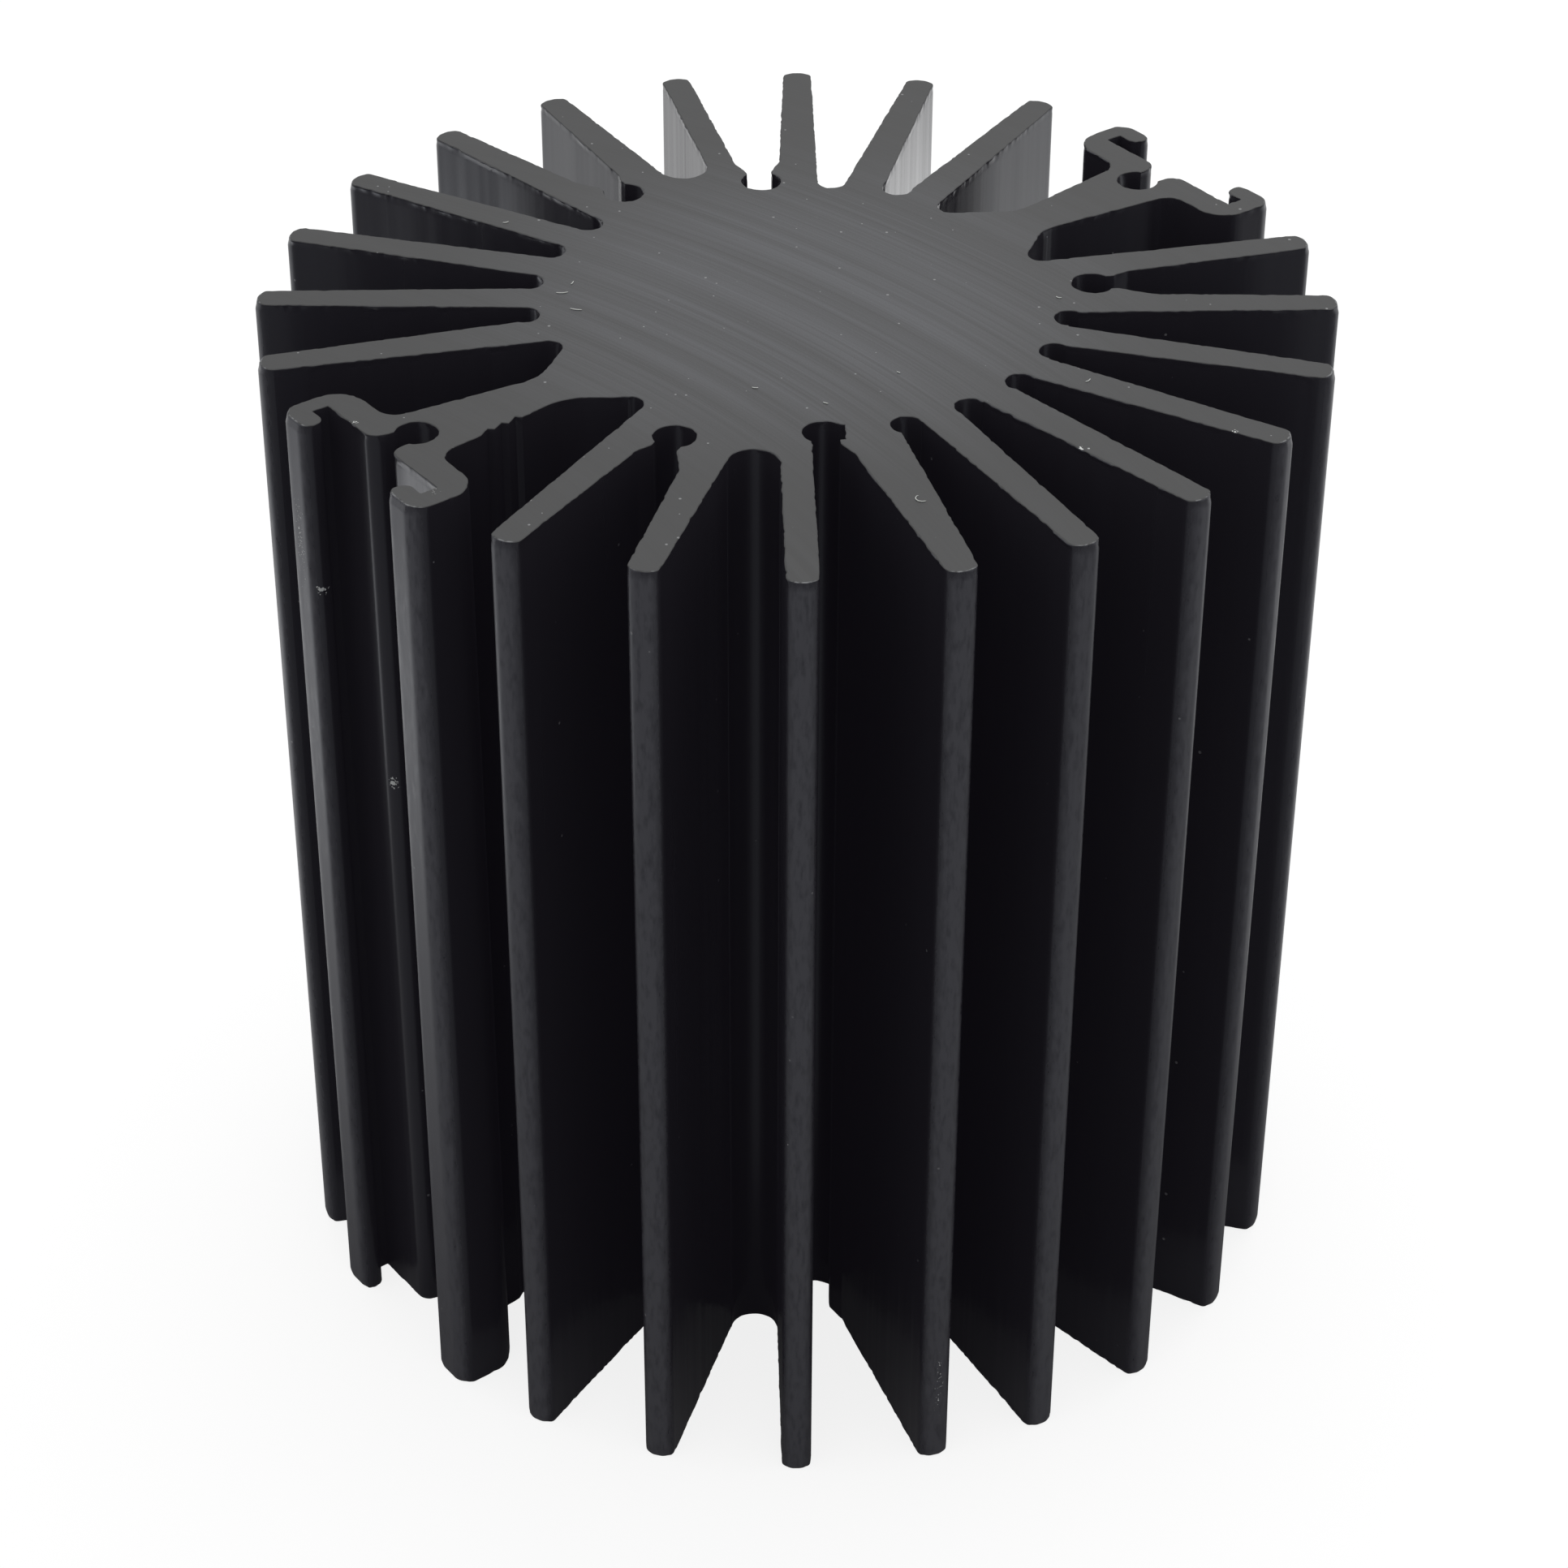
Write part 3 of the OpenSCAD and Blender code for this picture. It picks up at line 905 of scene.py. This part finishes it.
    def burr(self, section: Section, tip: np.ndarray) -> np.ndarray:
        """How far the burr stands out at each point of the section.

        It is larger where the outline faces the way the saw was fed, and at the tips, and it
        varies at random along the edge.
        """
        faced = eased(section.normals @ np.array(self.feed), 0.1, 0.8)
        facing = self.lee_burr + (1 - self.lee_burr) * faced
        fine, broad = self.burr_waves_mm
        torn = section.noise(fine, Seed.BURR_FINE) * section.noise(broad, Seed.BURR_BROAD)
        rolled = 0.55 + 0.45 * section.noise(self.tip_wave_mm, Seed.TIP_BURR)
        return (
            self.least_burr_mm * MM
            + self.burr_mm * MM * facing * (1 - tip) * torn * self.burr_gain
            + self.tip_burr_mm * MM * tip * rolled
        )

    def end_rings(
        self, section: Section, burr: np.ndarray, tip: np.ndarray, level: float, end: End
    ) -> np.ndarray:
        """Rings from the sawn face to the plain side, at one end.

        Each ring is the outline moved out by its share of the burr and, at the tips, moved in by
        its share of the round that the tumbling barrel gave the edge.

        Args:
            section: the outline.
            burr: how far the burr stands out at each point.
            tip: how much each point belongs to a tip.
            level: the sawn face's height.
            end: which end this is.

        Returns:
            (m, n, 3) places, from the sawn face inwards along the bar.
        """
        stand = self.profile.column("stand")
        rounded = self.profile.column("rounded") * self.tip_round_mm * MM
        depth = self.profile.column("depth") * self.burr_depth_mm * MM
        broken = self.profile.column("broken") * self.ragged_mm * MM
        broad, fine = self.ragged_waves_mm
        bitten = section.noise(broad, Seed.RAGGED_BROAD) * section.noise(fine, Seed.RAGGED_FINE)
        ragged = 0.1 + bitten * (1 - tip)
        offset = stand * burr[None, :] - broken * ragged[None, :] - rounded * tip[None, :]
        offset[0] -= self.trimmed_mm * MM
        flat = section.points[None] + offset[:, :, None] * section.normals[None]
        height = level - end.value * np.broadcast_to(depth, offset.shape)
        return np.concatenate([flat, height[:, :, None]], axis=2)

    def skin(self, rings: np.ndarray, rim_highlight: np.ndarray, tumble_and_rim_shade: np.ndarray) -> Object:
        """Joins the rings with four-sided faces and closes both ends with one face each.

        Args:
            rings: (m, n, 3) places, from the bottom ring to the top one.
            rim_highlight: (n,) how strongly the top rim is painted paler as a highlight, from 0 to
                1; kept as the faces' "rim_highlight" value.
            tumble_and_rim_shade: (m, n) how far each point is tumbled, less just under the upper
                rim as painted shade; kept as the points' "tumbled_and_rim_shade" value.

        Returns:
            The closed piece. Sides take material 0 and ends material 1.
        """
        levels, count = rings.shape[:2]
        here = np.arange(levels - 1)[:, None] * count + np.arange(count)[None]
        beside = np.arange(levels - 1)[:, None] * count + np.roll(np.arange(count), -1)[None]
        quads = np.stack([here, beside, beside + count, here + count], axis=-1).reshape(-1, 4)
        bottom = np.arange(count)[::-1]
        top = np.arange(count) + (levels - 1) * count
        mesh = bpy.data.meshes.new("heat_sink_bar")
        faces = quads.tolist() + [bottom.tolist(), top.tolist()]
        mesh.from_pydata(rings.reshape(-1, 3).tolist(), [], faces)
        slots = np.zeros(len(faces), dtype=np.int32)
        slots[-2:] = 1
        slots[:count] = 1
        slots[len(quads) - count : len(quads)] = 1
        mesh.polygons.foreach_set("material_index", slots)
        mesh.set_sharp_from_angle(angle=math.radians(self.crease_deg))
        smooth = np.ones(len(slots), dtype=bool)
        smooth[-2:] = False
        mesh.polygons.foreach_set("use_smooth", smooth)
        # The top band of the side is painted paler at the tips, as a highlight on the rim.
        painted_rim_highlight = np.zeros(len(slots), dtype=np.float32)
        painted_rim_highlight[len(quads) - count : len(quads)] = rim_highlight
        mesh.attributes.new("rim_highlight", "FLOAT", "FACE").data.foreach_set("value", painted_rim_highlight)
        tumbled_and_rim_shade = mesh.attributes.new("tumbled_and_rim_shade", "FLOAT", "POINT")
        tumbled_and_rim_shade.data.foreach_set("value", tumble_and_rim_shade.astype(np.float32).reshape(-1))
        mesh.update()
        return in_scene("heat_sink_bar", mesh)


@dataclass(frozen=True)
class Fibre:
    """One bit of lint that lies on the sawn face.

    Attributes:
        at_mm: its middle in plan.
        length_mm: its length.
        heading: degrees anticlockwise from +X that its middle points.
        bend: degrees that it turns from one end to the other.
    """

    at_mm: tuple[float, float]
    length_mm: float
    heading: float
    bend: float


@dataclass
class Lint:
    """The few fibres on the sawn face, as one mesh of fine round threads.

    Attributes:
        thread_mm: a fibre's radius.
        colour: the cotton's colour.
        steps: how many rings of points a fibre has, and sides how many points a ring.
        fibres: where each fibre lies.
    """

    thread_mm: float = 0.035
    colour: str = "#b9bbb8"
    steps: int = 17
    sides: int = 6
    fibres: tuple[Fibre, ...] = (
        Fibre((7.35, -25.5), 1.35, -60.0, 190.0),
        Fibre((-2.6, -11.9), 0.45, -10.0, 60.0),
        Fibre((1.8, -13.8), 0.4, -30.0, 20.0),
        Fibre((6.4, -9.8), 0.3, -35.0, 10.0),
        Fibre((18.3, -10.7), 0.6, 50.0, 80.0),
        Fibre((17.0, 0.45), 0.5, -30.0, 120.0),
        Fibre((-15.3, 0.7), 0.9, 5.0, 60.0),
        Fibre((-14.3, -1.6), 0.9, -15.0, 40.0),
        Fibre((-14.7, 2.1), 0.5, 70.0, 30.0),
        Fibre((-19.6, 10.8), 0.5, 20.0, 90.0),
    )

    def build(self) -> Object:
        """Sweeps a ring of points along every fibre at once.

        A fibre is an arc: its direction at share t of its length is heading + bend * (t - 1/2),
        its centre line is that direction summed, and each ring stands square to it. The ends
        taper to a point.

        Returns:
            The finished piece, which rides on the body.
        """
        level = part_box(NODE)[1].z
        share = np.linspace(-0.5, 0.5, self.steps)[None]
        heading, bend, length = (
            np.array([getattr(fibre, name) for fibre in self.fibres])[:, None]
            for name in ("heading", "bend", "length_mm")
        )
        angle = np.radians(heading + bend * share)
        ahead = np.stack([np.cos(angle), np.sin(angle)], axis=-1)
        line = np.cumsum(ahead, axis=1) * (length / self.steps * MM)[:, :, None]
        middle = np.array([fibre.at_mm for fibre in self.fibres])[:, None] * MM
        line = line - line.mean(axis=1, keepdims=True) + middle
        around = np.linspace(0, 2 * np.pi, self.sides, endpoint=False)
        radius = self.thread_mm * MM * np.sqrt(np.clip(1 - (2 * share[0]) ** 4, 0.02, 1))
        beside = np.stack([-ahead[..., 1], ahead[..., 0]], axis=-1)[:, :, None]
        reach = radius[None, :, None] * np.cos(around)[None, None]
        plan = line[:, :, None] + beside * reach[..., None]
        height = radius[:, None] * np.sin(around)[None] + self.thread_mm * MM + level
        height = np.broadcast_to(height[None], plan.shape[:3])
        places = np.concatenate([plan, height[..., None]], axis=-1)
        index = np.arange(places[..., 0].size).reshape(places.shape[:3])
        turned = np.roll(index, -1, axis=2)
        quads = np.stack([index[:, :-1], index[:, 1:], turned[:, 1:], turned[:, :-1]], axis=-1)
        caps = np.concatenate([index[:, 0], index[:, -1, ::-1]])
        faces = quads.reshape(-1, 4).tolist() + caps.tolist()
        mesh = bpy.data.meshes.new("lint")
        mesh.from_pydata(places.reshape(-1, 3).tolist(), [], faces)
        mesh.polygons.foreach_set("use_smooth", np.ones(len(mesh.polygons), dtype=bool))
        mesh.materials.append(self.material())
        piece = in_scene("lint", mesh)
        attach(piece, BODY)
        return piece

    def material(self) -> Material:
        """Bleached cotton, which scatters the light to a soft pale grey with no gloss."""
        material, tree = empty_material("cotton_lint")
        shader = add(
            tree, "ShaderNodeBsdfPrincipled", {"Base Color": linear(self.colour), "Roughness": 0.9}
        )
        add(tree, "ShaderNodeOutputMaterial", {"Surface": shader.outputs[0]})
        return material


# ---------------------------------------------------------------- studio


@dataclass(frozen=True)
class Pool:
    """A soft pool of light on the table, out of the camera's sight, that the part reflects.

    Attributes:
        at_mm: its middle on the table.
        reach_mm: where it starts to fade, and where it ends.
        strength: how much light its middle gives off, where the tent's white is 1.
    """

    at_mm: tuple[float, float]
    reach_mm: tuple[float, float]
    strength: float

    def light(self, tree: NodeTree, place: NodeSocket) -> NodeSocket:
        """Returns a socket with the light given off at each place."""
        x, y = (c * MM for c in self.at_mm)
        away = add(
            tree, "ShaderNodeVectorMath", {0: place, 1: (x, y, 0.0)}, operation="DISTANCE"
        ).outputs["Value"]
        inner, outer = (r * MM for r in self.reach_mm)
        return math_node(tree, "MULTIPLY", ramp(tree, away, outer, inner), self.strength)


@dataclass(frozen=True)
class Studio:
    """A white table in a white tent, with a soft lamp overhead.

    The tent is what a black satin part reflects: it gives the tips their grey and the far flanks
    their pale sheen.

    Attributes:
        tent: strength of the tent's light, where 1 is white.
        opening: strength of what reflections see in front, where the tent is open.
        opening_from: a direction's Y where the opening starts, and where it is full.
        shaded_front_grey: the table's colour in front of the part, painted grey as shade that only
            reflections and bounced light see, and back_grey its colour behind it.
        join_mm: the Y from which and to which the one goes over to the other.
        join_slant: how much X counts beside Y in that, so that the join runs askew.
        seen_grey: the table's colour to the camera, and seen_lift the light added to it there.
        pools: soft light on the table that only the part sees.
        floor_size: the table's side.
        lamp_size: the lamp's diameter.
        lamp_watts: its power.
        lamp_at_mm: its place, and lamp_aim_mm the place that it points at.
    """

    tent: float = 0.85
    opening: float = 0.2
    opening_from: tuple[float, float] = (0.1, -0.6)
    shaded_front_grey: str = "#8a8a8a"
    back_grey: str = "#eeeeee"
    join_mm: tuple[float, float] = (-20.0, 20.0)
    join_slant: float = -0.1
    seen_grey: str = "#767676"
    seen_lift: float = 0.84
    pools: tuple[Pool, ...] = (
        Pool((50.0, 110.0), (15.0, 85.0), 0.75),
        Pool((-5.0, 130.0), (10.0, 60.0), 0.3),
        Pool((-125.0, 18.0), (20.0, 60.0), 0.9),
    )
    floor_size: float = 6.0
    lamp_size: float = 0.6
    lamp_watts: float = 1.6
    lamp_at_mm: tuple[float, float, float] = (90.0, 330.0, 590.0)
    lamp_aim_mm: tuple[float, float, float] = (0.0, 0.0, 35.0)

    def build(self) -> None:
        """Makes the world, the floor and the lamp, and sets the view transform."""
        bpy.context.scene.view_settings.view_transform = "Standard"
        self.world()
        self.floor()
        self.lamp()

    def world(self) -> None:
        """White to the camera; a little dimmer as light on the part.

        In reflections it is white behind the part and dim in front, where the tent is open.
        """
        world = bpy.data.worlds.new("white_tent")
        bpy.context.scene.world = world
        world.use_nodes = True
        tree = world.node_tree
        tree.nodes.clear()
        ray = add(tree, "ShaderNodeLightPath")
        glossy = ray.outputs["Is Glossy Ray"]
        seen = math_node(tree, "MAXIMUM", ray.outputs["Is Camera Ray"], glossy)
        seen = math_node(tree, "MAXIMUM", seen, ray.outputs["Is Transmission Ray"])
        toward = add(tree, "ShaderNodeTexCoord").outputs["Generated"]
        ahead = add(tree, "ShaderNodeSeparateXYZ", {0: toward}).outputs[1]
        open_side = ramp(tree, ahead, *self.opening_from)
        open_side = math_node(tree, "MULTIPLY", open_side, glossy)
        white = math_node(tree, "MULTIPLY_ADD", open_side, self.opening - 1.0, 1.0)
        strength = add(
            tree, "ShaderNodeMapRange", {"Value": seen, "To Min": self.tent, "To Max": white}
        ).outputs["Result"]
        shader = add(tree, "ShaderNodeBackground", {"Color": (1, 1, 1, 1), "Strength": strength})
        add(tree, "ShaderNodeOutputWorld", {"Surface": shader.outputs[0]})

    def floor(self) -> None:
        """A white table top. To the camera it is lifted to white and keeps a soft shadow. In
        reflections and bounced light it is painted grey in front of the part, as painted shade, and
        near white behind.
        """
        half = self.floor_size / 2
        mesh = bpy.data.meshes.new("floor")
        rim = [(-half, -half, 0), (half, -half, 0), (half, half, 0), (-half, half, 0)]
        mesh.from_pydata(rim, [], [(0, 1, 2, 3)])
        floor = in_scene("floor", mesh)
        material, tree = empty_material("white_table")
        camera = add(tree, "ShaderNodeLightPath").outputs["Is Camera Ray"]
        place = add(tree, "ShaderNodeTexCoord").outputs["Object"]
        axes = add(tree, "ShaderNodeSeparateXYZ", {0: place})
        slant = math_node(tree, "MULTIPLY_ADD", axes.outputs[0], self.join_slant, axes.outputs[1])
        behind = ramp(tree, slant, *(y * MM for y in self.join_mm))
        # The table is painted grey in front of the part for reflections and bounced light: painted
        # shade.
        paint = mix_colour(tree, behind, linear(self.shaded_front_grey), linear(self.back_grey))
        paint = mix_colour(tree, camera, paint, linear(self.seen_grey))
        diffuse = add(tree, "ShaderNodeBsdfDiffuse", {"Color": paint})
        glow = 0.0
        for pool in self.pools:
            glow = math_node(tree, "ADD", pool.light(tree, place), glow)
        lift = add(tree, "ShaderNodeMix", {0: camera, 2: glow, 3: self.seen_lift}).outputs[0]
        glow = add(tree, "ShaderNodeEmission", {"Color": (1, 1, 1, 1), "Strength": lift})
        both = add(tree, "ShaderNodeAddShader", {0: diffuse.outputs[0], 1: glow.outputs[0]})
        add(tree, "ShaderNodeOutputMaterial", {"Surface": both.outputs[0]})
        mesh.materials.append(material)

    def lamp(self) -> None:
        """One large soft lamp above and behind, aimed at the middle of the bar."""
        data = bpy.data.lights.new("soft_lamp", "AREA")
        data.shape = "DISK"
        data.size = self.lamp_size
        data.energy = self.lamp_watts
        lamp = in_scene("soft_lamp", data)
        lamp.location = Vector(self.lamp_at_mm) * MM
        aim = Vector(self.lamp_aim_mm) * MM - lamp.location
        lamp.rotation_euler = aim.to_track_quat("-Z", "Y").to_euler()


@dataclass(frozen=True)
class ViewPoint:
    """Where the camera stands: in front, looking down at the sawn end.

    Attributes:
        at_mm: the lens's place in the bar's frame.
        turn: degrees that the camera turns anticlockwise from looking along +Y.
        down: degrees that it looks down.
        tilt: degrees that it leans anticlockwise about its own line of sight.
        lens_mm: focal length.
        sensor_mm: width of the sensor.
    """

    at_mm: tuple[float, float, float] = (-0.04, -231.72, 191.65)
    turn: float = 0.167
    down: float = 34.534
    tilt: float = 0.255
    lens_mm: float = 91.77
    sensor_mm: float = 36.0

    def build(self) -> Object:
        """Makes the camera and gives it to the scene.

        Returns:
            The camera object.
        """
        a, e, r = (math.radians(v) for v in (self.turn, self.down, self.tilt))
        back = np.array([math.sin(a) * math.cos(e), -math.cos(a) * math.cos(e), math.sin(e)])
        right = np.array([math.cos(a), math.sin(a), 0.0])
        up = np.cross(back, right)
        across = right * math.cos(r) + up * math.sin(r)
        upward = -right * math.sin(r) + up * math.cos(r)
        frame = np.eye(4)
        frame[:3, 0], frame[:3, 1], frame[:3, 2] = across, upward, back
        frame[:3, 3] = np.array(self.at_mm) * MM
        data = bpy.data.cameras.new("camera")
        data.sensor_width = self.sensor_mm
        data.lens = self.lens_mm
        data.clip_start = 0.01
        data.clip_end = 20.0
        camera = in_scene("camera", data)
        camera.matrix_world = Matrix(frame.tolist())
        bpy.context.scene.camera = camera
        return camera


def corners(bounds: Iterable[Iterable[float]]) -> list[list[float]]:
    """The two corners of a box as plain lists of numbers."""
    return [[float(v) for v in corner] for corner in bounds]


def main() -> None:
    """Builds the scene: camera, studio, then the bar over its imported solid."""
    logging.basicConfig(level=logging.INFO, format="%(name)s: %(message)s")
    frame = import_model()
    ViewPoint().build()
    Studio().build()
    piece = HeatSink().build(frame["nodes"][NODE])
    lint = Lint().build()
    LOG.info("built %s and %s", piece.name, lint.name)


if __name__ == "__main__":
    main()
